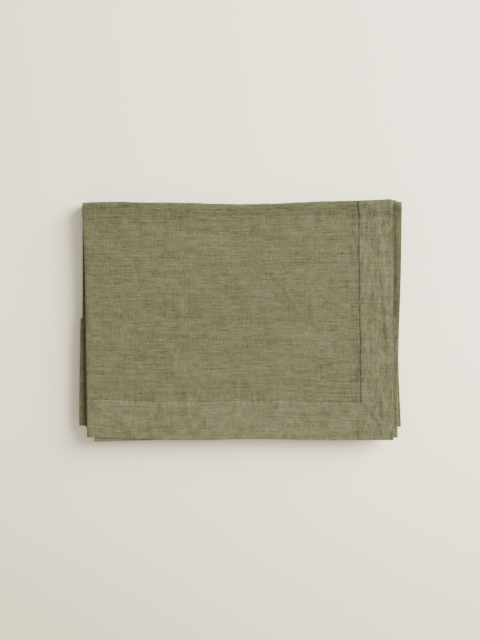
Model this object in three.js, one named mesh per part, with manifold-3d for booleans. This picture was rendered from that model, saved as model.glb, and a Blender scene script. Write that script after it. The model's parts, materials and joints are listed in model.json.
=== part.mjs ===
// A hemmed linen tablecloth, folded in four across its width and in eight along its length, lying flat.
// Millimetres, +Z up. X runs along the packet's long side, and +Y points to its closed back folds.
// The origin is under the middle of the packet, on the surface that it lies on.
//
// The cloth is divided where it turns. A panel is one flat run of the length, four layers thick, because
// the width was folded first. Panels are numbered along the cloth, from one end hem to the other, and a
// fold joins two of them. The right side of the cloth faces up in odd panels and down in even ones.
// The packet opens like a book about the back folds, which are soft and join its two halves.
import * as THREE from "three";
import { mergeVertices } from "three/addons/utils/BufferGeometryUtils.js";
import Module from "manifold-3d";

const wasm = await Module();
wasm.setup();

// The cloth as sewn.
const clothWidth = 1700;
const clothLength = 2600;
const clothThickness = 0.4;
const hemPly = 0.125; // what the pressed hem ply adds on the wrong side
const sideHem = 45;
const endHem = 53;
const thread = 0.3;
const clearance = 0.3; // between solids that touch
const seamGap = thread + 2 * clearance;

// The folded packet.
const packetWidth = 443;
const packetDepth = 334.6;
const pitch = 0.95; // from one layer to the next
const foldReach = 2.1; // how far each nested fold stands out, with its four layers pressed
const stack = [2, 7, 6, 3, 4, 5, 8, 1]; // panels from the bottom to the top
const firstHemInset = 2.8; // the top panel's end hem, behind the foremost edge
const sideHemInset = 16.5; // the top layer's side hem, inside the right-hand folds
const innerFoldInset = 23.5; // the hidden left-hand fold, inside the outer one

const half = clothThickness / 2;
const panelHeight = 4 * pitch;
const faceInset = pitch / 2 - half; // from a panel's outer face to the middle of the gap next to it

// Where each layer turns across the width, as the centres of its bends.
const outerRadius = 1.5 * pitch;
const tightRadius = 0.5 * pitch;
const leftX = -packetWidth / 2 + outerRadius + half;
const rightX = packetWidth / 2 - tightRadius - half;
const innerX = -packetWidth / 2 + innerFoldInset;
const hemEdgeA = packetWidth / 2 - sideHemInset;
const bendLength = Math.PI * (outerRadius + 2 * tightRadius);
const lastLayer = clothWidth - bendLength - (hemEdgeA - leftX) - (rightX - leftX) - (rightX - innerX);
const hemEdgeB = innerX + lastLayer;
const sideEdges = [
  { letter: "a", edge: hemEdgeA, height: 1.5 * pitch, wrongSideDown: true },
  { letter: "b", edge: hemEdgeB, height: 0.5 * pitch, wrongSideDown: false },
];

// Where the panels start and end along the length.
const folds = [1, 2, 3, 4, 5, 6, 7].map((panel) => {
  const levels = [stack.indexOf(panel), stack.indexOf(panel + 1)];
  const nest = (Math.abs(levels[0] - levels[1]) + 1) / 2;
  const height = ((levels[0] + levels[1] + 1) / 2) * panelHeight - faceInset;
  return { name: `fold_${panel}_${panel + 1}`, atBack: panel % 2 === 1, nest, height };
});
const backNests = 4;
const backY = packetDepth / 2 - backNests * foldReach;
const firstRun = backY + packetDepth / 2 - firstHemInset;
const lastRun = backY + packetDepth / 2;
const foldLengths = folds.reduce((sum, fold) => sum + halfEllipse(fold.nest), 0);
const innerRun = (clothLength - foldLengths - firstRun - lastRun) / 6;
const frontY = backY - innerRun;

// The length of half an ellipse through the middle of a nested fold, by Ramanujan's formula.
function halfEllipse(nest) {
  const a = (nest - 0.5) * foldReach;
  const b = (nest - 0.5) * panelHeight;
  return (Math.PI / 2) * (3 * (a + b) - Math.sqrt((3 * a + b) * (a + 3 * b)));
}

function colour(hex, roughness) {
  return new THREE.MeshStandardMaterial({ color: hex, roughness, metalness: 0 });
}

function addMesh(parent, name, geometry, material) {
  const mesh = new THREE.Mesh(geometry, material);
  mesh.name = name;
  parent.add(mesh);
  return mesh;
}

const linen = () => colour(0x8b8666, 0.92);
const hemLinen = () => colour(0x938e6d, 0.92);
const threadColour = () => colour(0x6f6148, 0.8);

function toSolid(geometry) {
  const bare = geometry.clone();
  bare.deleteAttribute("normal");
  bare.deleteAttribute("uv");
  const merged = mergeVertices(bare, 1e-4);
  const mesh = new wasm.Mesh({
    numProp: 3,
    vertProperties: merged.attributes.position.array,
    triVerts: new Uint32Array(merged.index.array),
  });
  return new wasm.Manifold(mesh);
}

function toGeometry(solid) {
  const mesh = solid.getMesh();
  const geometry = new THREE.BufferGeometry();
  geometry.setAttribute("position", new THREE.BufferAttribute(mesh.vertProperties, 3));
  geometry.setIndex(new THREE.BufferAttribute(mesh.triVerts, 1));
  geometry.computeVertexNormals();
  return geometry;
}

// The four layers across the width as one closed outline in X and Z. The path starts at the first side
// edge, on top, and ends at the second, one layer lower. The wrong side is on the left of the path.
function layersShape(startX, endX, wrongHalf, rightHalf) {
  const quarter = Math.PI / 2;
  const bends = [
    { x: leftX, z: 0, r: outerRadius, from: quarter, to: 3 * quarter, clockwise: false },
    { x: rightX, z: -pitch, r: tightRadius, from: -quarter, to: quarter, clockwise: false },
    { x: innerX, z: 0, r: tightRadius, from: 3 * quarter, to: quarter, clockwise: true },
  ];
  const top = 1.5 * pitch;
  const end = 0.5 * pitch;
  const shape = new THREE.Shape();
  shape.moveTo(startX, top - wrongHalf);
  for (const b of bends) {
    const radius = b.clockwise ? b.r + wrongHalf : b.r - wrongHalf;
    shape.absarc(b.x, b.z, radius, b.from, b.to, b.clockwise);
  }
  shape.lineTo(endX, end + wrongHalf);
  shape.lineTo(endX, end - rightHalf);
  for (const b of bends.reverse()) {
    const radius = b.clockwise ? b.r - rightHalf : b.r + rightHalf;
    shape.absarc(b.x, b.z, radius, b.to, b.from, !b.clockwise);
  }
  shape.lineTo(startX, top + rightHalf);
  shape.closePath();
  return shape;
}

// Extrudes an outline in X and Z along Y, between two places.
function alongY(shape, fromY, toY) {
  const geometry = new THREE.ExtrudeGeometry(shape, {
    depth: toY - fromY,
    bevelEnabled: false,
    curveSegments: 5,
  });
  geometry.rotateX(Math.PI / 2);
  geometry.translate(0, toY, 0);
  return geometry;
}

// The corner seam: how far from the end edge it lies at a place across the side hem.
function mitreDistance(edge, x) {
  return ((edge - x) * endHem) / sideHem;
}

const mitreGap = (seamGap / 2) * Math.hypot(1, endHem / sideHem); // half the seam, measured along Y

// A panel's own frame starts where the panel does and its Y follows the cloth. fromEdge turns a distance
// from the panel's end edge into that Y.
function panelGroup(panel) {
  const group = new THREE.Group();
  const faceDown = panel % 2 === 0;
  const run = panel === 1 ? firstRun : panel === 8 ? lastRun : innerRun;
  const startY = panel === 1 ? backY - firstRun : faceDown ? backY : frontY;
  group.position.set(0, startY, (stack.indexOf(panel) + 0.5) * panelHeight - faceInset);
  group.rotation.x = faceDown ? Math.PI : 0;
  return { group, panel, run, hasEnd: panel === 1 || panel === 8 };
}

// The stretch of a panel's Y that starts at a distance from its end edge, or at its own two folds.
function stretch(place, distance) {
  if (!place.hasEnd) return [clearance, place.run - clearance];
  return place.panel === 1 ? [distance, place.run - clearance] : [clearance, place.run - distance];
}

function fromEdge(place, distance) {
  return place.panel === 1 ? distance : place.run - distance;
}

function addPanel(place) {
  const seamA = hemEdgeA - sideHem - seamGap / 2;
  const seamB = hemEdgeB - sideHem - seamGap / 2;
  const shape = layersShape(seamA, seamB, half, half);
  const [fromY, toY] = stretch(place, endHem + seamGap / 2);
  addMesh(place.group, `panel_${place.panel}`, alongY(shape, fromY, toY), linen());
}

// A side hem is a flat band, cut at the corner seam where the panel has an end hem.
function addSideHem(place, side) {
  const inner = side.edge - sideHem + seamGap / 2;
  const [fromY, toY] = stretch(place, 0);
  const shape = new THREE.Shape();
  if (place.hasEnd) {
    const foldY = place.panel === 1 ? toY : fromY;
    shape.moveTo(inner, foldY);
    shape.lineTo(side.edge, foldY);
    shape.lineTo(side.edge, fromEdge(place, mitreGap));
    shape.lineTo(inner, fromEdge(place, mitreDistance(side.edge, inner) + mitreGap));
  } else {
    shape.moveTo(inner, fromY);
    shape.lineTo(side.edge, fromY);
    shape.lineTo(side.edge, toY);
    shape.lineTo(inner, toY);
  }
  const depth = clothThickness + hemPly;
  const geometry = new THREE.ExtrudeGeometry(shape, { depth, bevelEnabled: false });
  geometry.translate(0, 0, side.height - half - (side.wrongSideDown ? hemPly : 0));
  addMesh(place.group, `side_hem_${side.letter}_${place.panel}`, geometry, hemLinen());
}

// The row of stitches that holds a side hem, as one bar in the seam beside it.
function addSideStitching(place, side) {
  const [fromY, toY] = stretch(place, endHem - thread / 2);
  const geometry = new THREE.BoxGeometry(thread, toY - fromY, thread);
  const name = `side_stitching_${side.letter}_${place.panel}`;
  const mesh = addMesh(place.group, name, geometry, threadColour());
  mesh.position.set(side.edge - sideHem, (fromY + toY) / 2, side.height);
}

// An end hem runs through all four layers. Each of its two ends is cut back to the corner seam.
function addEndHem(place) {
  const shape = layersShape(hemEdgeA, hemEdgeB, half + hemPly, half);
  const [fromY, toY] = [fromEdge(place, 0), fromEdge(place, endHem - seamGap / 2)].sort((a, b) => a - b);
  let solid = toSolid(alongY(shape, fromY, toY));
  for (const side of sideEdges) solid = solid.subtract(toSolid(cornerWedge(place, side)));
  addMesh(place.group, `end_hem_${place.panel}`, toGeometry(solid), hemLinen());
}

// What the side hem takes of one layer of the end hem, a little larger all round.
function cornerWedge(place, side) {
  const spare = 5;
  const left = side.edge - sideHem - spare;
  const right = side.edge + spare;
  const shape = new THREE.Shape();
  shape.moveTo(left, fromEdge(place, mitreDistance(side.edge, left) - mitreGap));
  shape.lineTo(right, fromEdge(place, mitreDistance(side.edge, right) - mitreGap));
  shape.lineTo(right, fromEdge(place, endHem + 2 * spare));
  const geometry = new THREE.ExtrudeGeometry(shape, { depth: pitch, bevelEnabled: false });
  geometry.translate(0, 0, side.height - pitch / 2 + (side.wrongSideDown ? -hemPly / 2 : hemPly / 2));
  return geometry;
}

function addEndStitching(place) {
  const endA = hemEdgeA - sideHem - thread / 2 - clearance;
  const endB = hemEdgeB - sideHem - thread / 2 - clearance;
  const shape = layersShape(endA, endB, thread / 2, thread / 2);
  const middle = fromEdge(place, endHem);
  const geometry = alongY(shape, middle - thread / 2, middle + thread / 2);
  addMesh(place.group, `end_stitching_${place.panel}`, geometry, threadColour());
}

// The slanting stitches of a mitred corner, from where the two hem rows meet to the corner itself.
function addMitreStitching(place, side) {
  const inset = 0.8; // from the hem rows, and twice that from the corner
  const long = Math.hypot(sideHem, endHem);
  const geometry = new THREE.BoxGeometry(long - 3 * inset, thread, thread);
  const name = `mitre_stitching_${side.letter}_${place.panel}`;
  const mesh = addMesh(place.group, name, geometry, threadColour());
  const along = 0.5 - inset / 2 / long;
  mesh.position.set(side.edge - sideHem * (1 - along), fromEdge(place, endHem * (1 - along)), side.height);
  const slope = Math.atan2(endHem, sideHem);
  mesh.rotation.z = place.panel === 1 ? -slope : slope;
}

// A fold as one soft band around the folds nested in it. Its four layers are pressed thinner where it
// turns furthest out.
function addFold(parent, fold) {
  const outerY = fold.nest * foldReach;
  const outerZ = fold.nest * panelHeight - faceInset;
  const innerY = outerY - foldReach + clearance;
  const innerZ = outerZ - panelHeight + 2 * faceInset;
  const shape = new THREE.Shape();
  shape.absellipse(0, 0, outerY, outerZ, -Math.PI / 2, Math.PI / 2, false, 0);
  shape.absellipse(0, 0, innerY, innerZ, Math.PI / 2, -Math.PI / 2, true, 0);
  shape.closePath();
  const geometry = new THREE.ExtrudeGeometry(shape, {
    depth: packetWidth,
    bevelEnabled: false,
    curveSegments: 7,
  });
  const alongX = new THREE.Matrix4().makeBasis(
    new THREE.Vector3(0, 1, 0),
    new THREE.Vector3(0, 0, 1),
    new THREE.Vector3(1, 0, 0),
  );
  geometry.applyMatrix4(alongX);
  geometry.translate(-packetWidth / 2, 0, 0);
  const mesh = addMesh(parent, fold.name, geometry, linen());
  mesh.position.set(0, fold.atBack ? backY : frontY, fold.height);
  mesh.rotation.z = fold.atBack ? 0 : Math.PI;
}

const tablecloth = new THREE.Group();
for (const panel of stack) {
  const place = panelGroup(panel);
  tablecloth.add(place.group);
  addPanel(place);
  if (place.hasEnd) {
    addEndHem(place);
    addEndStitching(place);
  }
  for (const side of sideEdges) {
    addSideHem(place, side);
    addSideStitching(place, side);
    if (place.hasEnd) addMitreStitching(place, side);
  }
}
for (const fold of folds) addFold(tablecloth, fold);

export default tablecloth;
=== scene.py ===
import json
import math

import bmesh
import bpy
import numpy as np
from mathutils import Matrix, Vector


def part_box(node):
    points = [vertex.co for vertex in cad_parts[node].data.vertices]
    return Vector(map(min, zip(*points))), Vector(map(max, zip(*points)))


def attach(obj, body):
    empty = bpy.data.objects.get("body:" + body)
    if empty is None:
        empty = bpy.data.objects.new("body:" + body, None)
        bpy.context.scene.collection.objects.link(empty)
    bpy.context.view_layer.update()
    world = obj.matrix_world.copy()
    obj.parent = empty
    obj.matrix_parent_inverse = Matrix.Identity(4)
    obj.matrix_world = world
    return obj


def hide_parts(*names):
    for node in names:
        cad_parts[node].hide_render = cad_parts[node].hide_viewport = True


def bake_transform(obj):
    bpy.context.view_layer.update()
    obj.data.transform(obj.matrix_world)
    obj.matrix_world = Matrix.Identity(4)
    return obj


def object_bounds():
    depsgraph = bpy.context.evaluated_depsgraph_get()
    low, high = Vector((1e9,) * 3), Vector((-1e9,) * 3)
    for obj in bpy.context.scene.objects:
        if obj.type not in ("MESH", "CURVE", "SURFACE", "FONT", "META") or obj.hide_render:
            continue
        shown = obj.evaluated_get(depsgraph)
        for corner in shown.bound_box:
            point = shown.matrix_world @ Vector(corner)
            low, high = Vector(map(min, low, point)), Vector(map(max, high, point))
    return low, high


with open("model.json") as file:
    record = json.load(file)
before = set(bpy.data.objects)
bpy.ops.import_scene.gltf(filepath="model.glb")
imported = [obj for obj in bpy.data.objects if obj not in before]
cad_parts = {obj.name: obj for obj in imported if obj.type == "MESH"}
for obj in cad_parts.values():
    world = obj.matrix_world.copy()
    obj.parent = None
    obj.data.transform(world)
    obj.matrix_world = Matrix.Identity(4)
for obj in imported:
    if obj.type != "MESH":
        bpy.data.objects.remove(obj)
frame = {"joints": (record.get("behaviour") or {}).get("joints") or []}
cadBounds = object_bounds()
mm = 0.001

# The cloth: flat and hemmed, in metres.
cloth = {
    "width": 1.700,
    "length": 2.600,
    "thickness": 0.40 * mm,
    "sideHem": 45 * mm,
    "endHem": 53 * mm,
    "plyThickness": 0.20 * mm,
}

# The packet: how the layers lie on each other.
packet = {
    "stack": [2, 7, 6, 3, 4, 5, 8, 1],  # panels from the bottom to the top
    "pitch": 0.95 * mm,
    "foldReach": 2.1 * mm,  # a fold's reach grows by this with each fold nested in it
    "foldWander": 0.10,
    "foldWanderSize": (0.06, 0.26),
    "backReach": 1.17,  # back folds stand out further than front folds
    "foldWrinkle": 0.35 * mm,
    "foldWrinkleSize": (0.014, 0.060),
    "foldSquareness": 0.72,  # 1 is an ellipse, less is boxier
    "leftSquareness": 0.65,  # the same for the outer left folds
    "stretchFrom": 60 * mm,  # a layer keeps its distances from the hem up to here
}

joint = frame["joints"][0]
backY = joint["pos_m"][1]
middleZ = joint["pos_m"][2]
lowest, highest = [np.array(corner) for corner in cadBounds]
panelHeight = 4 * packet["pitch"]
wideRadius = 1.5 * packet["pitch"]
tightRadius = 0.5 * packet["pitch"]
flatten = packet["foldReach"] / panelHeight
halfCloth = cloth["thickness"] / 2

# Where the layers end across the width, in millimetres, at each turn of the length: the first end hem,
# the seven folds and the last end hem. Each row: first side edge, outer left fold, hidden left fold,
# right fold, second side edge.
turns = [
    (209.6, -213.6, -202.6, 214.4, 215.2),
    (206.8, -220.4, -197.0, 222.2, 214.6),
    (206.0, -217.0, -199.0, 221.6, 212.0),
    (205.0, -219.4, -198.0, 220.4, 211.0),
    (206.5, -221.8, -200.0, 217.6, 212.5),
    (206.0, -219.6, -197.0, 220.8, 212.0),
    (205.0, -216.4, -198.0, 219.6, 211.0),
    (206.0, -219.4, -196.5, 220.6, 212.6),
    (205.6, -213.0, -200.0, 212.6, 211.4),
]


def smoothCurve(points, x):
    # A smooth line through a few points, level past its ends.
    px = np.array([p[0] for p in points], float)
    py = np.array([p[1] for p in points], float)
    slope = np.gradient(py, px)
    slope[0] = slope[-1] = 0
    x = np.clip(x, px[0], px[-1])
    i = np.clip(np.searchsorted(px, x, side="right") - 1, 0, len(px) - 2)
    span = px[i + 1] - px[i]
    t = (x - px[i]) / span
    rise = py[i] * (2 * t**3 - 3 * t**2 + 1) + py[i + 1] * (3 * t**2 - 2 * t**3)
    return rise + span * (slope[i] * (t**3 - 2 * t**2 + t) + slope[i + 1] * (t**3 - t**2))


def step(low, high, x):
    t = np.clip((x - low) / (high - low), 0, 1)
    return t * t * (3 - 2 * t)


def ripples(x, y, seed, shortest, longest, count=14):
    # A repeatable sum of sine waves in many directions, between about -1 and 1.
    rng = np.random.default_rng(seed)
    total = np.zeros(np.broadcast(x, y).shape)
    for _ in range(count):
        angle = rng.uniform(0, math.pi)
        k = 2 * math.pi / rng.uniform(shortest, longest)
        phase = rng.uniform(0, 2 * math.pi)
        total = total + np.sin(k * (x * math.cos(angle) + y * math.sin(angle)) + phase)
    return total / math.sqrt(count) / 1.5


# The run of the length: panels and folds one after another, each with where it starts along the cloth.
def ellipseLength(nest):
    a = (nest - 0.5) * packet["foldReach"]
    b = (nest - 0.5) * panelHeight
    return math.pi / 2 * (3 * (a + b) - math.sqrt((3 * a + b) * (a + 3 * b)))


def nestOf(panel):
    levels = [packet["stack"].index(panel), packet["stack"].index(panel + 1)]
    return (abs(levels[0] - levels[1]) + 1) / 2


hemY = {1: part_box("end_hem_1")[0][1], 8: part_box("end_hem_8")[0][1]}
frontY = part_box("panel_3")[0][1] - 0.3 * mm
stretches = []
reached = 0.0
for panel in range(1, 9):
    run = backY - hemY.get(panel, frontY)
    stretches.append({"kind": "panel", "panel": panel, "start": reached, "end": reached + run})
    reached += run
    if panel < 8:
        arc = ellipseLength(nestOf(panel))
        stretches.append({"kind": "fold", "panel": panel, "start": reached, "end": reached + arc})
        reached += arc
clothEnd = reached
starts = np.array([s["start"] for s in stretches])


def levelOf(panel):
    # The height of the first layer's middle in a panel, and which way the next layers lie from it.
    middle = lowest[2] + (packet["stack"].index(panel) + 0.5) * panelHeight
    middle -= packet["pitch"] / 2 - halfCloth
    up = -1 if panel % 2 else 1
    return middle - up * 1.5 * packet["pitch"], up


def rowsAt(v, only):
    # For places along the cloth: what the layers turn about there.
    out = {name: np.zeros(len(v)) for name in ("y", "zBase", "up", "zTurn", "side", "angle", "turn")}
    index = np.clip(np.searchsorted(starts, v, side="right") - 1, only[0], only[1])
    for i in np.unique(index):
        here = index == i
        s = stretches[i]
        share = np.clip((v[here] - s["start"]) / (s["end"] - s["start"]), 0, 1)
        panel = s["panel"]
        zBase, up = levelOf(panel)
        out["zBase"][here] = zBase
        out["up"][here] = up
        if s["kind"] == "panel":
            near = hemY.get(panel, frontY)
            begin, end = (near, backY) if panel % 2 else (backY, near)
            out["y"][here] = begin + (end - begin) * share
            out["turn"][here] = panel - 1 + share
        else:
            out["y"][here] = backY if panel % 2 else frontY
            out["side"][here] = 1 if panel % 2 else -1
            out["zTurn"][here] = (zBase + levelOf(panel + 1)[0]) / 2
            out["angle"][here] = math.pi * share
            out["turn"][here] = panel
    return out


edges = {  # hand-folded edges aren't quite straight: places across the width in metres, shifts in millimetres
    "back": [
        (-0.221, -4.4),
        (-0.100, -5.0),
        (0.006, -6.6),
        (0.100, -3.8),
        (0.190, -0.3),
        (0.207, -0.4),
        (0.222, -3.0),
    ],
    "topFront": [(-0.214, 3.6), (-0.150, 1.2), (-0.057, -0.3), (0.012, 1.3), (0.108, -0.3), (0.209, -0.3)],
    "lowerFront": [(-0.220, 5.2), (-0.090, 1.6), (0.090, 1.0), (0.220, 5.0)],
    "middleFront": [(-0.222, 6.2), (-0.110, 2.2), (0.220, 3.0)],
    "lastFront": [(-0.213, 7.0), (0.000, 5.0), (0.213, 6.0)],
    "bow": -3.2,  # how far the lower layers' right folds draw in halfway along
    "topBow": 2.0,
    "notch": 2.7,  # how far the left fold of the fourth and fifth panels stands out over its front half
    "wander": 0.35,
}
# The first end hem's edge through its four layers: how far round the width, and the shift in millimetres.
layerFront = [
    (0.99, 3.6),
    (2.0, 3.6),
    (3.0, 5.6),
    (4.0, 5.6),
    (4.72, 0.6),
    (5.0, -2.9),
    (6.0, -2.9),
    (6.28, 0.6),
    (7.0, 3.0),
]


def linesAt(turn):
    # Where the layers end across the width, in metres, at a place in the run.
    lines = []
    halfway = np.sin(math.pi * np.clip(turn % 1, 0, 1))
    inTop = step(1.001, 0.999, turn)
    for k in range(5):
        line = np.interp(turn, range(len(turns)), [t[k] for t in turns])
        line = line + edges["wander"] * np.sin(turn * (5.1 + 1.7 * k) + 2.3 * k)
        if k == 1:
            line = line + edges["topBow"] * halfway * inTop
            forward = np.clip(1 - np.abs(turn - 4), 0, 1)
            line = line - edges["notch"] * step(0.508, 0.520, forward)
        if k == 3:
            line = line + edges["bow"] * halfway * (1 - inTop)
        lines.append(line * mm)
    return lines


nominal = [value * mm for value in turns[1]]
widths = [
    nominal[0] - nominal[1] - wideRadius - halfCloth,
    nominal[3] - nominal[1] - wideRadius - tightRadius - 2 * halfCloth,
    nominal[3] - nominal[2] - 2 * tightRadius - 2 * halfCloth,
]
parts = [widths[0], math.pi * wideRadius, widths[1], math.pi * tightRadius, widths[2], math.pi * tightRadius]
bends = np.cumsum(parts)  # where each part of the width ends, from the first side edge
lastWidth = cloth["width"] - bends[-1]


def stretched(distance, width, usual):
    # A layer keeps its distances near the hem, and takes up what its width differs by further in.
    near = packet["stretchFrom"]
    return distance + (width - usual) * np.clip((distance - near) / (usual - near), 0, 1)


def acrossAt(u, turn, lift):
    # From a place across the cloth to X, and to how far it lies into the packet. A lift is off the cloth's
    # middle, towards its right side.
    edgeA, left, inner, right, edgeB = linesAt(turn)
    leftX = left + wideRadius + halfCloth
    innerX = inner + tightRadius + halfCloth
    rightX = right - tightRadius - halfCloth
    part = np.searchsorted(bends, u, side="right")
    begin = np.concatenate([[0], bends])[part]
    size = np.array(parts + [lastWidth])[part]
    share = (u - begin) / size
    angle = math.pi * share
    square = packet["leftSquareness"]
    out = np.abs(np.sin(angle)) ** square
    over = np.sign(np.cos(angle)) * np.abs(np.cos(angle)) ** square
    p = packet["pitch"]
    last = cloth["width"] - u
    xs = [
        edgeA - stretched(u, edgeA - leftX, widths[0]),
        leftX - (wideRadius + lift) * out,
        leftX + (rightX - leftX) * share,
        rightX + (tightRadius + lift) * np.sin(angle),
        rightX + (innerX - rightX) * share,
        innerX - (tightRadius - lift) * np.sin(angle),
        edgeB - stretched(last, edgeB - innerX, lastWidth),
    ]
    ns = [
        -lift,
        1.5 * p - (wideRadius + lift) * over,
        3 * p + lift,
        2.5 * p + (tightRadius + lift) * np.cos(angle),
        2 * p - lift,
        1.5 * p + (tightRadius - lift) * np.cos(angle),
        p + lift,
    ]
    masks = [part == k for k in range(7)]
    return np.select(masks, xs), np.select(masks, [n + 0 * u for n in ns]), part + np.clip(share, 0, 1)


creases = [  # soft pressed lines in the top layer: both ends in X and Y, height and width, in millimetres
    (58, 46, 84, 6, 0.62, 2.2),
    (40, 70, 62, 44, 0.40, 2.6),
    (196, 40, 203, -46, 0.80, 2.6),
    (190, 128, 196, 60, 0.50, 3.5),
    (176, -118, 196, -152, 0.60, 2.4),
    (190, -96, 200, -132, 0.50, 2.2),
    (-176, -122, -150, -158, 0.65, 4.5),
    (-205, -60, -160, -96, 0.35, 5.0),
    (96, -84, 150, -100, 0.40, 3.5),
    (-120, 110, -60, 86, 0.35, 4.5),
    (148, 118, 158, 84, 0.45, 3.0),
    (140, 66, 158, 34, 0.40, 3.0),
    (120, 30, 156, 12, 0.35, 3.5),
    (104, 52, 120, 22, 0.30, 2.5),
    (28, 100, 52, 128, 0.30, 3.0),
]


def creaseHeight(x, y):
    total = np.zeros(x.shape)
    for x0, y0, x1, y1, height, width in creases:
        dx, dy = (x1 - x0) * mm, (y1 - y0) * mm
        along = ((x - x0 * mm) * dx + (y - y0 * mm) * dy) / (dx * dx + dy * dy)
        away = np.hypot(x - x0 * mm - along * dx, y - y0 * mm - along * dy)
        fade = step(-0.25, 0.25, along) * step(1.25, 0.75, along)
        total += height * mm * fade * np.exp(-((away / (width * mm)) ** 2))
    return total


pressed = {  # the top layer's own relief
    "hemStep": 0.26 * mm,
    "stepFrom": -0.5 * mm,
    "stepTo": 0.9 * mm,
    "groove": 0.16 * mm,
    "grooveWidth": 0.9 * mm,
    "pucker": 0.19 * mm,
    "puckerSpacing": 8.6 * mm,
    "puckerReach": (8 * mm, 5 * mm),  # inwards from the line, and outwards
    "sidePucker": 0.09 * mm,
    "sidePuckerSpacing": 7.4 * mm,
    "sidePuckerReach": (7 * mm, 4 * mm),
    "fadeIn": 6 * mm,
    "rest": 0.30 * mm,
    "wrinkle": 0.42 * mm,
    "wrinkleSize": (0.022, 0.085),
    "crinkle": 0.10 * mm,
    "crinkleSize": (0.007, 0.017),
    "edgeLift": 0.5 * mm,
    "edgeReach": 9 * mm,
    "edgeWave": (0.05, 0.16),
}


def bell(distance, width):
    return np.exp(-((distance / width) ** 2))


def topRelief(x, y, u, v):
    # How far the top layer stands off the layer below it.
    sideIn, endIn = u - cloth["sideHem"], v - cloth["endHem"]
    hem = 1 - step(pressed["stepFrom"], pressed["stepTo"], np.minimum(sideIn, endIn))
    line = np.where(v > cloth["endHem"], np.abs(sideIn), 1.0)
    line = np.minimum(line, np.where(u > cloth["sideHem"], np.abs(endIn), 1.0))
    relief = pressed["hemStep"] * hem - pressed["groove"] * bell(line, pressed["grooveWidth"])

    turn = 2 * math.pi * x / pressed["puckerSpacing"]
    waves = np.sin(turn + 1.6 * np.sin(x / (23 * mm)) + 0.8 * np.sin(x / (9 * mm)))
    size = 0.55 + 0.45 * np.sin(x / (31 * mm) + 0.7)
    reach = np.where(endIn > 0, *pressed["puckerReach"])
    relief += pressed["pucker"] * size * waves * bell(endIn, reach) * step(0, pressed["fadeIn"], sideIn)

    turn = 2 * math.pi * y / pressed["sidePuckerSpacing"]
    waves = np.sin(turn + 1.9 * np.sin(y / (19 * mm)))
    reach = np.where(sideIn > 0, *pressed["sidePuckerReach"])
    relief += pressed["sidePucker"] * waves * bell(sideIn, reach) * step(0, pressed["fadeIn"], endIn)

    relief += pressed["rest"] + pressed["wrinkle"] * ripples(x, y * 1.5, 11, *pressed["wrinkleSize"])
    relief += pressed["crinkle"] * ripples(x, y, 12, *pressed["crinkleSize"], 18)
    free = np.exp(-np.minimum(u, v) / pressed["edgeReach"])
    relief += pressed["edgeLift"] * free * (0.5 + 0.5 * ripples(x, y, 13, *pressed["edgeWave"]))
    return relief + creaseHeight(x, y)


trough = {  # beside the first side edge the layers under it sink, so that the right folds stand up like a lip
    "backDepth": 3.6 * mm,
    "frontDepth": 1.1 * mm,
    "width": 5.5 * mm,
    "middle": 0.2092,
    "deepens": (-0.020, 0.015),  # over these places along Y
    "startsAt": (-0.170, -0.150),
}
uneven = {  # the whole packet lies a little unevenly
    "swell": 0.9 * mm,
    "swellSize": (0.17, 0.45),
    "rightRise": 0.4 * mm,
    "riseFrom": (0.10, 0.19),
    "cornerDrop": 1.6 * mm,
    "corner": (0.2215, 0.165),
    "cornerReach": (0.018, 0.022),
}


def settle(x, y, z, first):
    # The layers keep together as they rise and sink, and the lowest lies flat.
    share = (z - lowest[2]) / (highest[2] - lowest[2])
    bulge = uneven["swell"] * ripples(x, y, 21, *uneven["swellSize"])
    bulge += uneven["rightRise"] * step(*uneven["riseFrom"], x)
    nearX = np.exp(-(uneven["corner"][0] - np.abs(x)) / uneven["cornerReach"][0])
    nearY = np.exp(-(uneven["corner"][1] - np.abs(y)) / uneven["cornerReach"][1])
    bulge -= uneven["cornerDrop"] * np.clip(nearX * nearY, 0, 1)
    deeper = (trough["backDepth"] - trough["frontDepth"]) * step(*trough["deepens"], y)
    sunk = bell(x - trough["middle"], trough["width"]) * (trough["frontDepth"] + deeper)
    sunk = sunk * step(*trough["startsAt"], y)
    bulge -= np.where(first, 0, sunk * share)
    return x, y, np.maximum(z + share * bulge, 0)


def endShift(u, part, x, turn):
    # How far the front ends of the layers stand back from straight, in metres.
    front = np.where(part < 1, smoothCurve(edges["topFront"], x), np.interp(part, *zip(*layerFront)))
    shifts = {
        0: front,
        2: smoothCurve(edges["lowerFront"], x),
        4: smoothCurve(edges["middleFront"], x),
        6: smoothCurve(edges["lowerFront"], x),
        8: smoothCurve(edges["lastFront"], x),
    }
    total = np.zeros(x.shape)
    for place, shift in shifts.items():
        total += shift * np.clip(1 - np.abs(turn - place), 0, 1)
    return total * mm


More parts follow.
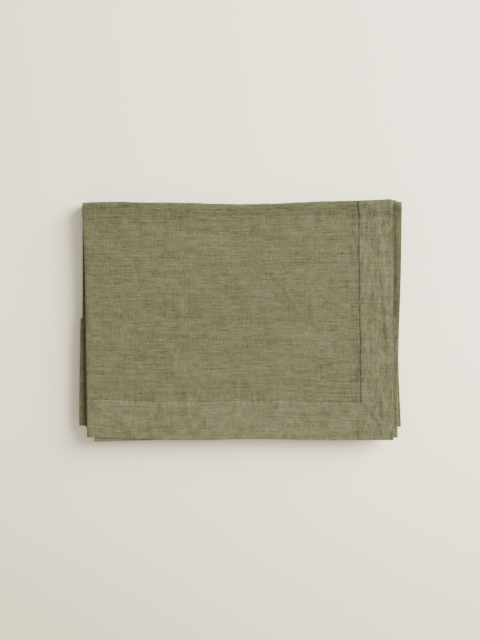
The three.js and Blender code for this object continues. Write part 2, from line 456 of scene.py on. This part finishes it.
def placeCloth(u, v, lift, only):
    # From places on the flat cloth, and heights over its middle, to where they lie in the packet.
    row = rowsAt(v, only)
    x, n, part = acrossAt(u, row["turn"], lift)
    top = (part < 1) & (row["turn"] < 1)
    relief = np.zeros(x.shape)
    relief[top] = topRelief(x[top], row["y"][top], u[top], v[top]) * step(1.0, 0.97, row["turn"][top])
    n = n - relief
    radius = row["zBase"] + row["up"] * n - row["zTurn"]
    c = np.cos(row["angle"])
    roundness = packet["foldSquareness"]
    bow = np.abs(np.sin(row["angle"])) ** roundness
    z = row["zTurn"] + radius * np.sign(c) * np.abs(c) ** roundness
    wander = ripples(x, row["side"] * 0.07, 31, *packet["foldWanderSize"])
    reach = flatten * (1 + packet["foldWander"] * wander)
    reach = reach * np.where(row["side"] > 0, packet["backReach"], 1)
    y = row["y"] + row["side"] * bow * np.abs(radius) * reach
    y = y + bow * packet["foldWrinkle"] * ripples(x, z * 2.5, 32, *packet["foldWrinkleSize"])
    y = y + endShift(u, part, x, row["turn"])
    y = y + smoothCurve(edges["back"], x) * mm * step(-0.02, backY, y)
    x, y, z = settle(x, y, z, part < 1)
    return np.stack([x, y, z], axis=1)


# Meshes: a flat grid for each stretch of cloth, laid into place with its own flat coordinates as its UVs.
def spaced(points, spacing):
    # Places through a list of points, no further apart than the spacing that follows each.
    out = [points[0]]
    for a, b, gap in zip(points, points[1:], spacing):
        out += list(np.linspace(a, b, max(1, math.ceil((b - a) / gap - 1e-6)) + 1)[1:])
    return np.array(out)


def clothGrid(name, us, vs):
    bm = bmesh.new()
    bm.loops.layers.uv.new("flat")
    bmesh.ops.create_grid(bm, x_segments=len(us) - 1, y_segments=len(vs) - 1, size=0.5)
    mesh = bpy.data.meshes.new(name)
    bm.to_mesh(mesh)
    bm.free()
    co = np.empty(len(mesh.vertices) * 3)
    mesh.vertices.foreach_get("co", co)
    co = co.reshape(-1, 3)
    column = np.rint((co[:, 0] + 0.5) * (len(us) - 1)).astype(int)
    rowIndex = np.rint((0.5 - co[:, 1]) * (len(vs) - 1)).astype(int)
    return mesh, column, rowIndex


def finishMesh(mesh, co, u, v):
    mesh.vertices.foreach_set("co", co.ravel())
    corner = np.empty(len(mesh.loops), int)
    mesh.loops.foreach_get("vertex_index", corner)
    mesh.uv_layers["flat"].data.foreach_set("uv", np.stack([u, v], axis=1)[corner].ravel())
    mesh.shade_smooth()
    mesh.update()


def newObject(name, mesh, material):
    piece = bpy.data.objects.new(name, mesh)
    bpy.context.scene.collection.objects.link(piece)
    mesh.materials.append(material)
    return piece


def solidify(piece, thickness):
    modifier = piece.modifiers.new("thickness", "SOLIDIFY")
    modifier.thickness = thickness
    modifier.offset = 0
    modifier.use_even_offset = False
    smooth = piece.modifiers.new("broad faces first", "WEIGHTED_NORMAL")
    smooth.weight = 100
    return piece


def clothPiece(name, us, vs, only, material):
    mesh, column, rowIndex = clothGrid(name, us, vs)
    u, v = us[column], vs[rowIndex]
    finishMesh(mesh, placeCloth(u, v, np.zeros(u.shape), only), u, v)
    return solidify(newObject(name, mesh, material), cloth["thickness"])


# The turned hem under the cloth's edge: places in from the edge, and heights over the cloth's middle. It
# starts by wrapping the edge, as the fold of a hem does.
hemProfile = {
    "inward": np.array([-0.05, -0.20, -0.18, 0.02, 1, 3, 5, 7, 9, 11, 13, 16, 20, 28, 36, 45]) * mm,
    "height": np.array([0.12, 0.0, -0.20] + [-0.33] * 12 + [-0.31]) * mm,
}


def fromEnds(v):
    # How far a place is from the nearer end edge of the cloth.
    return np.minimum(v, clothEnd - v)


def sideHemPiece(name, vs, only, letter, material):
    inward, height = hemProfile["inward"], hemProfile["height"]
    mesh, column, rowIndex = clothGrid(name, inward, vs)
    v = vs[rowIndex]
    narrowing = np.clip(fromEnds(v) / cloth["endHem"], 0, 1)
    inside = inward[column]
    inside = np.where(inside > 0, inside * narrowing, inside)
    u = inside if letter == "a" else cloth["width"] - inside
    finishMesh(mesh, placeCloth(u, v, height[column], only), u, v)
    if letter == "b":
        mesh.flip_normals()
    return solidify(newObject(name, mesh, material), cloth["plyThickness"])


def endHemPiece(name, us, only, atStart, material):
    scale = cloth["endHem"] / cloth["sideHem"]
    inward, height = hemProfile["inward"] * scale, hemProfile["height"]
    mesh, column, rowIndex = clothGrid(name, us, inward)
    inside = inward[rowIndex]
    v = inside if atStart else clothEnd - inside
    near = packet["stretchFrom"]
    low = cloth["sideHem"] * np.clip(inside / cloth["endHem"], 0, 1)
    u = us[column]
    fromSide = np.minimum(u, cloth["width"] - u)
    fromSide = np.where(fromSide < near, low + fromSide * (near - low) / near, fromSide)
    u = np.where(u < cloth["width"] / 2, fromSide, cloth["width"] - fromSide)
    finishMesh(mesh, placeCloth(u, v, height[rowIndex], only), u, v)
    if atStart:
        mesh.flip_normals()
    return solidify(newObject(name, mesh, material), cloth["plyThickness"])


stitch = {
    "spacing": 3.0 * mm,
    "halfLength": 1.15 * mm,
    "halfWidth": 0.20 * mm,
    "halfHeight": 0.14 * mm,
    "height": 0.24 * mm,
    "mitreHeight": 0.11 * mm,  # the mitre is sewn from behind, and hardly shows
}


def stitchPiece(name, rows, only, material, height=stitch["height"]):
    # rows: (u, v, direction) of each stitch on the flat cloth, direction as an angle from the width.
    bm = bmesh.new()
    bm.loops.layers.uv.new("flat")
    bmesh.ops.create_icosphere(bm, subdivisions=1, radius=1)
    single = bpy.data.meshes.new(name + "_single")
    bm.to_mesh(single)
    bm.free()
    bm = bmesh.new()
    for _ in rows:
        bm.from_mesh(single)
    mesh = bpy.data.meshes.new(name)
    bm.to_mesh(mesh)
    bm.free()
    count = len(single.vertices)
    bpy.data.meshes.remove(single)
    co = np.empty(len(mesh.vertices) * 3)
    mesh.vertices.foreach_get("co", co)
    co = co.reshape(-1, count, 3)
    at = np.array(rows)
    along = co[:, :, 0] * stitch["halfLength"]
    across = co[:, :, 1] * stitch["halfWidth"]
    c, s = np.cos(at[:, 2:3]), np.sin(at[:, 2:3])
    u = (at[:, 0:1] + along * c - across * s).ravel()
    v = (at[:, 1:2] + along * s + across * c).ravel()
    lift = (height + co[:, :, 2] * stitch["halfHeight"]).ravel()
    finishMesh(mesh, placeCloth(u, v, lift, only), u, v)
    return newObject(name, mesh, material)


def sideRow(start, end, edge):
    low = max(start, cloth["endHem"])
    high = min(end, clothEnd - cloth["endHem"])
    first = math.ceil(low / stitch["spacing"])
    last = math.floor(high / stitch["spacing"])
    return [(edge, k * stitch["spacing"], math.pi / 2) for k in range(first, last)]


def endRow(v):
    first = math.ceil(cloth["sideHem"] / stitch["spacing"])
    last = math.floor((cloth["width"] - cloth["sideHem"]) / stitch["spacing"])
    return [(k * stitch["spacing"], v, 0.0) for k in range(first, last + 1)]


def mitreRow(atStart):
    # The short slanting seams where the end hem meets the side hems.
    slope = cloth["sideHem"] / cloth["endHem"]
    count = int(cloth["endHem"] / stitch["spacing"])
    row = []
    for k in range(1, count):
        inside = k * stitch["spacing"]
        v = inside if atStart else clothEnd - inside
        turned = math.atan2(1, slope) if atStart else -math.atan2(1, slope)
        row.append((inside * slope, v, turned))
        row.append((cloth["width"] - inside * slope, v, math.pi - turned))
    return row


# Linen: one flat pattern for the whole cloth, in metres along its width (U) and length (V).
class Signal:
    # A shader socket. Sums, differences and products of signals are Math nodes.
    def __init__(self, tree, socket=None):
        self.tree = tree
        self.socket = socket

    def node(self, kind, settings=None, inputs=None, output=0):
        made = self.tree.nodes.new(kind)
        for key, value in (settings or {}).items():
            if key == "stops":
                ramp = made.color_ramp
                ramp.elements[0].position, ramp.elements[0].color = value[0]
                ramp.elements[1].position, ramp.elements[1].color = value[-1]
                for position, color in value[1:-1]:
                    ramp.elements.new(position).color = color
            else:
                setattr(made, key, value)
        for key, value in (inputs or {}).items():
            target = made.inputs[key]
            if isinstance(value, Signal):
                self.tree.links.new(value.socket, target)
            else:
                target.default_value = value
        return Signal(self.tree, made.outputs[output] if made.outputs else None)

    def math(self, operation, *values, clamp=False):
        settings = {"operation": operation, "use_clamp": clamp}
        return self.node("ShaderNodeMath", settings, dict(enumerate(values)))

    def __add__(self, other):
        return self.math("ADD", self, other)

    __radd__ = __add__

    def __mul__(self, other):
        return self.math("MULTIPLY", self, other)

    __rmul__ = __mul__

    def __sub__(self, other):
        return self.math("SUBTRACT", self, other)

    def __rsub__(self, other):
        return self.math("SUBTRACT", other, self)

    def abs(self):
        return self.math("ABSOLUTE", self)

    def sin(self):
        return self.math("SINE", self)

    def smaller(self, other):
        return self.math("MINIMUM", self, other)

    def ease(self, low, high):
        # 0 below low and 1 above high.
        settings = {"interpolation_type": "SMOOTHSTEP"}
        return self.node("ShaderNodeMapRange", settings, {"Value": self, "From Min": low, "From Max": high})


linen = {
    "light": (0.137, 0.1315, 0.0705, 1),
    "dark": (0.0190, 0.0182, 0.0087, 1),
    "middle": 0.425,  # where the cloth lies between dark and light
    "slub": 0.19,  # from here on, how strongly each pattern shows
    "weft": 0.46,
    "warp": 0.36,
    "longWeft": 0.40,
    "longWarp": 0.22,
    "fine": 0.54,
    "cloud": 0.16,
    "broad": 0.06,
    "weftThick": (0.56, 0.76),  # where the noise is a thick thread, and where a thin one
    "warpThick": (0.58, 0.78),
    "weftThin": (0.44, 0.26),
    "warpThin": (0.42, 0.24),
    "thread": 0.62 * mm,
    "roughness": 0.88,
    "sheen": 0.04,
    "sheenRoughness": 0.55,
    "sheenTint": (0.55, 0.52, 0.32, 1),
    "specular": 0.08,
    "bump": 0.55,
    "bumpDepth": 1.1 * mm,
}
linenPatches = {  # size along the width and the length in metres, then detail, seed and roughness
    "weft": (0.015, 0.0010, 2.0, 3.1, 0.5),
    "warp": (0.0009, 0.0075, 2.0, 7.7, 0.5),
    "longWeft": (0.050, 0.0021, 1.0, 21.5, 0.5),
    "longWarp": (0.0021, 0.040, 1.0, 24.9, 0.5),
    "fine": (0.0016, 0.0011, 1.0, 1.3, 0.5),
    "cloud": (0.018, 0.012, 3.0, 5.2, 0.6),
    "broad": (0.060, 0.045, 2.0, 9.4, 0.5),
    "smudge": (0.0045, 0.032, 2.0, 12.6, 0.5),
    "patch": (0.011, 0.016, 2.0, 15.8, 0.5),
}
hemLook = {
    "sideGain": 0.018,  # hems look lighter, being more than one ply thick
    "endGain": 0.075,
    "blur": 0.6 * mm,
    "end": 0.5 * mm,  # over this the two stitched lines stop at each other
    "sideLine": 1.7 * mm,
    "endLine": 1.0 * mm,
    "sideStitch": (0.05, 0.34),  # darkness of the line, and how much it varies: the thread, plus painted shade of the line's groove
    "endStitch": (0.02, 0.24),
    "mitreStitch": 0.045,
    "mitreWidth": 0.045,
    "mitreWander": 0.16,
    "mitreStop": (0.044, 0.046),
    "sideSmudge": 0.62,
    "sideTurned": 0.45,  # the side hem's threads run the other way
    "endPatch": 0.42,
    # Painted highlight and shade of the puckers below the end line: a wavy row, lighter on the whole.
    "scallop": 8.6 * mm,
    "scallopWander": 9,
    "scallopDepth": 0.075,
    "scallopLight": 0.05,
    "scallopAt": 3.0 * mm,
    "scallopReach": 4.2 * mm,
    "scallopFrom": (0.045, 0.050),
    "beside": (0.002, 0.017),  # painted shade: a darker band along the side line, on the side away from the edge, where the hem's step and puckers shade the cloth
    "besideDark": 0.035,
    "besideSmudge": 0.15,
    "smudgeFrom": (0.42, 0.66),
    "backFold": (0.300, 0.320, 0.350, 0.370),  # painted shade: a darker band round the first back fold, where the cloth turns down
    "backFoldDark": 0.10,
}


def newMaterial(name):
    material = bpy.data.materials.new(name)
    material.use_nodes = True
    material.node_tree.nodes.clear()
    return material, Signal(material.node_tree)


def flatPlace(graph):
    place = graph.node("ShaderNodeUVMap", {"uv_map": "flat"})
    split = graph.node("ShaderNodeSeparateXYZ", None, {"Vector": place})
    return split, Signal(graph.tree, split.socket.node.outputs[1])


def patchNoise(graph, u, v, sizeU, sizeV, detail, seed, rough):
    # Cloudy noise with patches of a given size along the width and the length, between 0 and 1.
    at = graph.node("ShaderNodeCombineXYZ", None, {"X": u * (1 / sizeU), "Y": v * (1 / sizeV), "Z": seed})
    settings = {"noise_dimensions": "3D"}
    inputs = {"Vector": at, "Scale": 1.0, "Detail": detail, "Roughness": rough}
    return graph.node("ShaderNodeTexNoise", settings, inputs)


def finishSurface(graph, material, inputs):
    shader = graph.node("ShaderNodeBsdfPrincipled", None, inputs)
    graph.node("ShaderNodeOutputMaterial", None, {"Surface": shader})
    return material


def hemSignals(u, v, noise):
    # Where the hems, their stitched lines and the painted light and shade beside and below them are on the
    # flat cloth, each from 0 to 1.
    fromSide = u.smaller(cloth["width"] - u)
    fromEnd = v.smaller(cloth["length"] - v)
    pastSide = fromSide - cloth["sideHem"]
    pastEnd = fromEnd - cloth["endHem"]
    blur, end = hemLook["blur"], hemLook["end"]
    sideLine = 1 - pastSide.abs().ease(0.0, hemLook["sideLine"])
    endLine = 1 - pastEnd.abs().ease(0.0, hemLook["endLine"])
    wander = (noise["cloud"] - 0.5) * hemLook["mitreWander"]
    mitre = fromSide * (1 / cloth["sideHem"]) - fromEnd * (1 / cloth["endHem"]) + wander
    mitreLine = 1 - mitre.abs().ease(0.0, hemLook["mitreWidth"])
    belowLine = 1 - (pastEnd + hemLook["scallopAt"]).abs().ease(0.0, hemLook["scallopReach"])
    return {
        "sideBand": 1 - pastSide.ease(-blur, blur),
        "endBand": 1 - pastEnd.ease(-blur, blur),
        "sideLine": sideLine * pastEnd.ease(-end, end),
        "endLine": endLine * pastSide.ease(-end, end),
        "mitreLine": mitreLine * (1 - fromSide.ease(*hemLook["mitreStop"])),
        "belowLine": belowLine * fromSide.ease(*hemLook["scallopFrom"]),
        "besideLine": pastSide.ease(-blur, blur) * (1 - pastSide.ease(*hemLook["beside"])),
    }


def linenShade(u, v, noise, thick, hem):
    # How light the linen is: 0 is its dark colour and 1 its light one.
    shade = linen["middle"]
    for name in ("cloud", "broad", "weft", "warp", "fine", "longWeft", "longWarp"):
        shade = (noise[name] - 0.5) * linen[name] + shade
    weftThin = noise["weft"].ease(*linen["weftThin"])
    warpThin = noise["warp"].ease(*linen["warpThin"])
    threads = thick["weft"] - weftThin * 0.3 + thick["warp"] * 0.6 - warpThin * 0.2
    shade = shade + threads * linen["slub"]

    turned = (noise["warp"] - noise["weft"]) * hemLook["sideTurned"]
    shade = shade + hem["sideBand"] * ((noise["smudge"] - 0.5) * hemLook["sideSmudge"] + turned)
    shade = shade + hem["endBand"] * (noise["patch"] - 0.5) * hemLook["endPatch"]
    # Painted highlight and shade of the puckers just below the end line.
    wander = (noise["cloud"] - 0.5) * hemLook["scallopWander"]
    scallop = (u * (2 * math.pi / hemLook["scallop"]) + wander).sin()
    shade = shade + hem["belowLine"] * (scallop * hemLook["scallopDepth"] + hemLook["scallopLight"])
    # Painted shade beside the side line, patchy where puckers would shade it.
    patchyShade = noise["smudge"].ease(*hemLook["smudgeFrom"]) * hemLook["besideSmudge"]
    shade = shade - hem["besideLine"] * (hemLook["besideDark"] + patchyShade)
    # Painted shade along the first back fold.
    rise, full, fall, gone = hemLook["backFold"]
    shade = shade - v.ease(rise, full) * (1 - v.ease(fall, gone)) * hemLook["backFoldDark"]
    shade = shade + hem["sideBand"] * hemLook["sideGain"]
    shade = shade + hem["endBand"] * (1 - hem["sideBand"]) * hemLook["endGain"]

    # The stitched lines darken the cloth for their thread and as painted shade of their grooves; the mitre
    # line is painted shade of its crease.
    dark, varying = hemLook["sideStitch"]
    stitches = hem["sideLine"] * (dark + noise["cloud"] * varying)
    dark, varying = hemLook["endStitch"]
    stitches = stitches + hem["endLine"] * (dark + noise["patch"] * varying)
    return shade - stitches - hem["mitreLine"] * hemLook["mitreStitch"]


def linenHeight(u, v, noise, thick, hem):
    # The plain weave, one thread over and one under, with its thick threads and stitched lines.
    k = math.pi / linen["thread"]
    overU = (u * k + (noise["weft"] - 0.5) * 1.5).sin()
    overV = (v * k + (noise["warp"] - 0.5) * 1.5).sin()
    crossing = overU * overV
    weave = overU.abs() * (0.5 + crossing * 0.5) + overV.abs() * (0.5 - crossing * 0.5)
    height = weave * 0.10 + thick["weft"] * 0.11 + thick["warp"] * 0.09
    height = height + noise["cloud"] * 0.10 + noise["fine"] * 0.08
    return height - (hem["sideLine"] + hem["endLine"]) * 0.14 - hem["mitreLine"] * 0.05


def linenMaterial(name):
    material, graph = newMaterial(name)
    u, v = flatPlace(graph)
    noise = {key: patchNoise(graph, u, v, *values) for key, values in linenPatches.items()}
    thick = {key: noise[key].ease(*linen[key + "Thick"]) for key in ("weft", "warp")}
    hem = hemSignals(u, v, noise)
    mixed = {"Factor": linenShade(u, v, noise, thick, hem), 6: linen["dark"], 7: linen["light"]}
    colour = graph.node("ShaderNodeMix", {"data_type": "RGBA"}, mixed, 2)
    height = linenHeight(u, v, noise, thick, hem)
    raised = {"Height": height, "Strength": linen["bump"], "Distance": linen["bumpDepth"]}
    return finishSurface(
        graph,
        material,
        {
            "Base Color": colour,
            "Roughness": linen["roughness"],
            "Sheen Weight": linen["sheen"],
            "Sheen Roughness": linen["sheenRoughness"],
            "Sheen Tint": linen["sheenTint"],
            "Specular IOR Level": linen["specular"],
            "Normal": graph.node("ShaderNodeBump", None, raised),
        },
    )


threadLook = {"color": (0.034, 0.029, 0.013, 1), "roughness": 0.85, "twist": 0.35 * mm}


def threadMaterial(name):
    material, graph = newMaterial(name)
    place = graph.node("ShaderNodeTexCoord", None, None, 3)
    split = graph.node("ShaderNodeSeparateXYZ", None, {"Vector": place})
    depth = Signal(graph.tree, split.socket.node.outputs[1])
    ply = ((split + depth) * (2 * math.pi / threadLook["twist"])).sin()
    bump = graph.node("ShaderNodeBump", None, {"Height": ply, "Strength": 0.4, "Distance": 0.00008})
    return finishSurface(
        graph,
        material,
        {
            "Base Color": threadLook["color"],
            "Roughness": threadLook["roughness"],
            "Specular IOR Level": 0.1,
            "Normal": bump,
        },
    )


clothLinen = linenMaterial("washed linen")
hemLinen = linenMaterial("turned hem linen")
hemThread = threadMaterial("hem thread")
print("materials made")


# How finely each stretch of the cloth is divided.
detail = {
    "top": 1.75 * mm,
    "topRow": 2.9 * mm,
    "seam": 0.7 * mm,
    "under": 22 * mm,
    "curve": 0.55 * mm,
    "topCurve": 0.35 * mm,
    "lip": 18 * mm,  # beside the right folds, where the layers sink and rise
    "lipGap": 1.3 * mm,
    "run": 9 * mm,
    "hemColumn": 6 * mm,
    "endSeam": (51.5 * mm, 54.5 * mm, 70 * mm),
    "endSeamRow": 0.75 * mm,
    "notch": {4: (0, 0.500, 0.530, 1), 5: (0, 0.470, 0.500, 1)},  # shares of the run, where a left fold steps
    "notchRow": 1.2 * mm,
}
bendAt = [float(value) for value in bends]
lip, lipGap = detail["lip"], detail["lipGap"]
curve, topCurve, under, top = [detail[key] for key in ("curve", "topCurve", "under", "top")]
pastHem = [bendAt[0], bendAt[1], bendAt[2] - lip, bendAt[2], bendAt[3], bendAt[3] + lip, bendAt[4], bendAt[5]]
pastHem += [cloth["width"] - lip, cloth["width"]]
underPoints = [0, lip, cloth["sideHem"]] + pastHem
underGaps = [lipGap, under, under, curve * 1.3, under, lipGap, curve, lipGap, under, curve, under, lipGap]
underColumns = spaced(underPoints, underGaps)
topPoints = [0, cloth["sideHem"] - 1.5 * mm, cloth["sideHem"] + 1.5 * mm] + pastHem
pastHemGaps = [0.5 * mm, under, lipGap, topCurve, lipGap, under, topCurve, under, lipGap]
topColumns = spaced(topPoints, [top, detail["seam"], top] + pastHemGaps)


def stretchOf(panel):
    return stretches[2 * (panel - 1)]


def foldAfter(panel):
    return stretches[2 * panel - 1]


def panelRows(panel):
    s = stretchOf(panel)
    start, end, gap = s["start"], s["end"], detail["run"]
    if panel == 1:
        row = detail["topRow"]
        return spaced([start, *detail["endSeam"], end], [row, detail["endSeamRow"], row, row])
    if panel == 8:
        return spaced([start, end - cloth["endHem"], end], [gap, gap])
    if panel in detail["notch"]:
        places = [start + (end - start) * share for share in detail["notch"][panel]]
        return spaced(places, [gap, detail["notchRow"], gap])
    return spaced([start, end], [gap])


def foldRows(panel, count=18):
    s = foldAfter(panel)
    return spaced([s["start"], s["end"]], [(s["end"] - s["start"]) / count])


def joined(*rows):
    return np.unique(np.concatenate(rows).round(9))


def dress(piece, slot, ride, *nodes):
    # Give a piece its body, and hide the CAD nodes it stands for; the slot is not used.
    ride(piece)
    if nodes:
        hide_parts(*nodes)
    return piece


def addGroup(name, only, columns, rows, hemRows, ride, nodes):
    # One stretch of cloth with its side hems and their stitches.
    sheet = dress(clothPiece("linen_" + name, columns, rows, only, clothLinen), "linen", ride, *nodes)
    together = []
    for letter, edge in (("a", cloth["sideHem"]), ("b", cloth["width"] - cloth["sideHem"])):
        turned = sideHemPiece(f"turned_side_hem_{letter}_{name}", hemRows, only, letter, hemLinen)
        together.append(dress(turned, "hem_linen", ride))
        row = sideRow(rows[0], rows[-1], edge)
        if row:
            sewn = stitchPiece(f"side_stitches_{letter}_{name}", row, only, hemThread)
            together.append(dress(sewn, "thread", ride))
    return sheet, together


def addEnd(panel, only, ride):
    # The end hem of the first or the last panel, with its stitches and mitres.
    atStart = panel == 1
    line = cloth["endHem"] if atStart else clothEnd - cloth["endHem"]
    columns = spaced(topPoints, [detail["hemColumn"]] * 3 + pastHemGaps) if atStart else underColumns
    turned = endHemPiece(f"turned_end_hem_{panel}", columns, only, atStart, hemLinen)
    dress(turned, "hem_linen", ride, f"end_hem_{panel}")
    sewn = stitchPiece(f"end_stitches_{panel}", endRow(line), only, hemThread)
    dress(sewn, "thread", ride, f"end_stitching_{panel}")
    mitre = stitchPiece(f"mitre_stitches_{panel}", mitreRow(atStart), only, hemThread, stitch["mitreHeight"])
    dress(mitre, "thread", ride, f"mitre_stitching_a_{panel}", f"mitre_stitching_b_{panel}")
    return [turned, sewn, mitre]


def rideOn(body):
    return lambda piece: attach(piece, body)


def bendRound(panel):
    # A back fold's pieces are baked where they lie and ride on no body; the reach and the ends round the
    # hinge are worked out but not used.
    reach = (nestOf(panel) - 1) * panelHeight + packet["pitch"] / 2
    start = (0, backY, middleZ - reach)
    end = (0, backY, middleZ + reach)
    return lambda piece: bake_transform(piece)


def bothSides(kind, panels):
    return [f"{kind}_{letter}_{panel}" for panel in panels for letter in "ab"]


groups = [
    # name, first and last stretch, body, CAD panels, CAD folds, what it rests on
    ("panels_2_3", (2, 4), "lower_half", [2, 3], ["fold_2_3"], "floor"),
    ("panels_6_7", (10, 12), "lower_half", [6, 7], ["fold_6_7"], "linen_panels_2_3"),
    ("panels_4_5", (6, 8), "upper_half", [4, 5], ["fold_4_5"], "linen_panels_6_7"),
    ("panel_8", (14, 14), "upper_half", [8], [], "linen_panels_4_5"),
    ("panel_1", (0, 0), "upper_half", [1], [], "linen_panel_8"),
]
for name, only, body, panels, folds, restsOn in groups:
    ride = rideOn(body)
    rows = [panelRows(panel) for panel in panels]
    if folds:
        rows.append(foldRows(panels[0]))
    rows = joined(*rows)
    hemRows = rows if folds else spaced([rows[0], rows[-1]], [detail["run"]])
    if name == "panel_1":
        hemRows = joined(hemRows, np.array([cloth["endHem"]]))
    columns = topColumns if name == "panel_1" else underColumns
    nodes = [f"panel_{panel}" for panel in panels] + folds
    sheet, together = addGroup(name, only, columns, rows, hemRows, ride, nodes)
    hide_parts(*bothSides("side_hem", panels))
    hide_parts(*bothSides("side_stitching", panels))
    if not folds:
        together += addEnd(panels[0], only, ride)
    run = stretches[only[1]]["end"] - stretches[only[0]]["start"]

for panel in (1, 3, 5, 7):
    name = f"fold_{panel}_{panel + 1}"
    index = 2 * panel - 1
    columns = topColumns if panel == 1 else underColumns
    rows = foldRows(panel, 20 if panel in (1, 7) else 14)
    sheet, together = addGroup(name, (index, index), columns, rows, rows, bendRound(panel), [name])
    run = stretches[index]["end"] - stretches[index]["start"]
    area = cloth["width"] * run
print("cloth laid")


# Floor, light and camera.
studio = {
    "floorColor": (0.89, 0.803, 0.608, 1),
    "floorDark": (0.59, 0.505, 0.350, 1),  # painted shade: the paper's colour darkens towards the left and the front, where the light falls off
    "floorAcross": (-0.70, 0.50, 0.62),  # from, to and how much
    "floorAlong": (-0.75, 0.05, 1.03),
    "floorLess": 0.587,
    "world": (1.0, 0.985, 0.965, 1),
    "worldStrength": 0.78,
    "keyPower": 1160.0,
    "keySize": (3.15, 4.65),
    "keyPlace": (3.51, 1.74, 2.52),
    "topPower": 6.0,
    "topSize": 0.5,
    "topPlace": (0.10, 0.10, 2.60),
    "frontPower": 15.0,
    "frontSize": 1.2,
    "frontPlace": (0.30, -1.90, 1.90),
    "lens": 89.7,
    "cameraPlace": (-0.00207, 0.00083, 2.2298),
}


def floorMaterial():
    material, graph = newMaterial("plain pale paper")
    place = graph.node("ShaderNodeTexCoord", None, None, 3)
    split = graph.node("ShaderNodeSeparateXYZ", None, {"Vector": place})
    y = Signal(graph.tree, split.socket.node.outputs[1])
    grain = graph.node("ShaderNodeTexNoise", None, {"Vector": place, "Scale": 900.0, "Detail": 2.0})
    left, right, across = studio["floorAcross"]
    front, back, along = studio["floorAlong"]
    # Painted shade: the floor's colour darkens towards the left and the front in place of the light falling
    # off.
    shade = split.ease(left, right) * across + y.ease(front, back) * along - studio["floorLess"]
    mixed = {"Factor": shade, 6: studio["floorDark"], 7: studio["floorColor"]}
    colour = graph.node("ShaderNodeMix", {"data_type": "RGBA"}, mixed, 2)
    bump = graph.node("ShaderNodeBump", None, {"Height": grain, "Strength": 0.15, "Distance": 0.0002})
    return finishSurface(
        graph, material, {"Base Color": colour, "Roughness": 0.9, "Specular IOR Level": 0.2, "Normal": bump}
    )


bm = bmesh.new()
bmesh.ops.create_grid(bm, x_segments=1, y_segments=1, size=20)
floorMesh = bpy.data.meshes.new("floor")
bm.to_mesh(floorMesh)
bm.free()
floor = newObject("floor", floorMesh, floorMaterial())


def aimAt(thing, target):
    direction = Vector(target) - thing.location
    thing.rotation_euler = direction.to_track_quat("-Z", "Y").to_euler()


def addSoftbox(name, place, size, power):
    softbox = bpy.data.objects.new(name, bpy.data.lights.new(name, "AREA"))
    softbox.data.shape = "RECTANGLE"
    softbox.data.size, softbox.data.size_y = size
    softbox.data.energy = power
    softbox.location = place
    bpy.context.scene.collection.objects.link(softbox)
    aimAt(softbox, (0, 0, 0))


addSoftbox("side softbox", studio["keyPlace"], studio["keySize"], studio["keyPower"])
addSoftbox("overhead softbox", studio["topPlace"], (studio["topSize"],) * 2, studio["topPower"])
addSoftbox("front softbox", studio["frontPlace"], (studio["frontSize"],) * 2, studio["frontPower"])

world = bpy.data.worlds.new("studio")
world.use_nodes = True
background = world.node_tree.nodes["Background"]
background.inputs["Color"].default_value = studio["world"]
background.inputs["Strength"].default_value = studio["worldStrength"]
bpy.context.scene.world = world

camera = bpy.data.objects.new("camera", bpy.data.cameras.new("camera"))
camera.data.sensor_fit = "VERTICAL"
camera.data.sensor_height = 36
camera.data.lens = studio["lens"]
camera.location = studio["cameraPlace"]
bpy.context.scene.collection.objects.link(camera)
bpy.context.scene.camera = camera
print("stage, light and camera set")
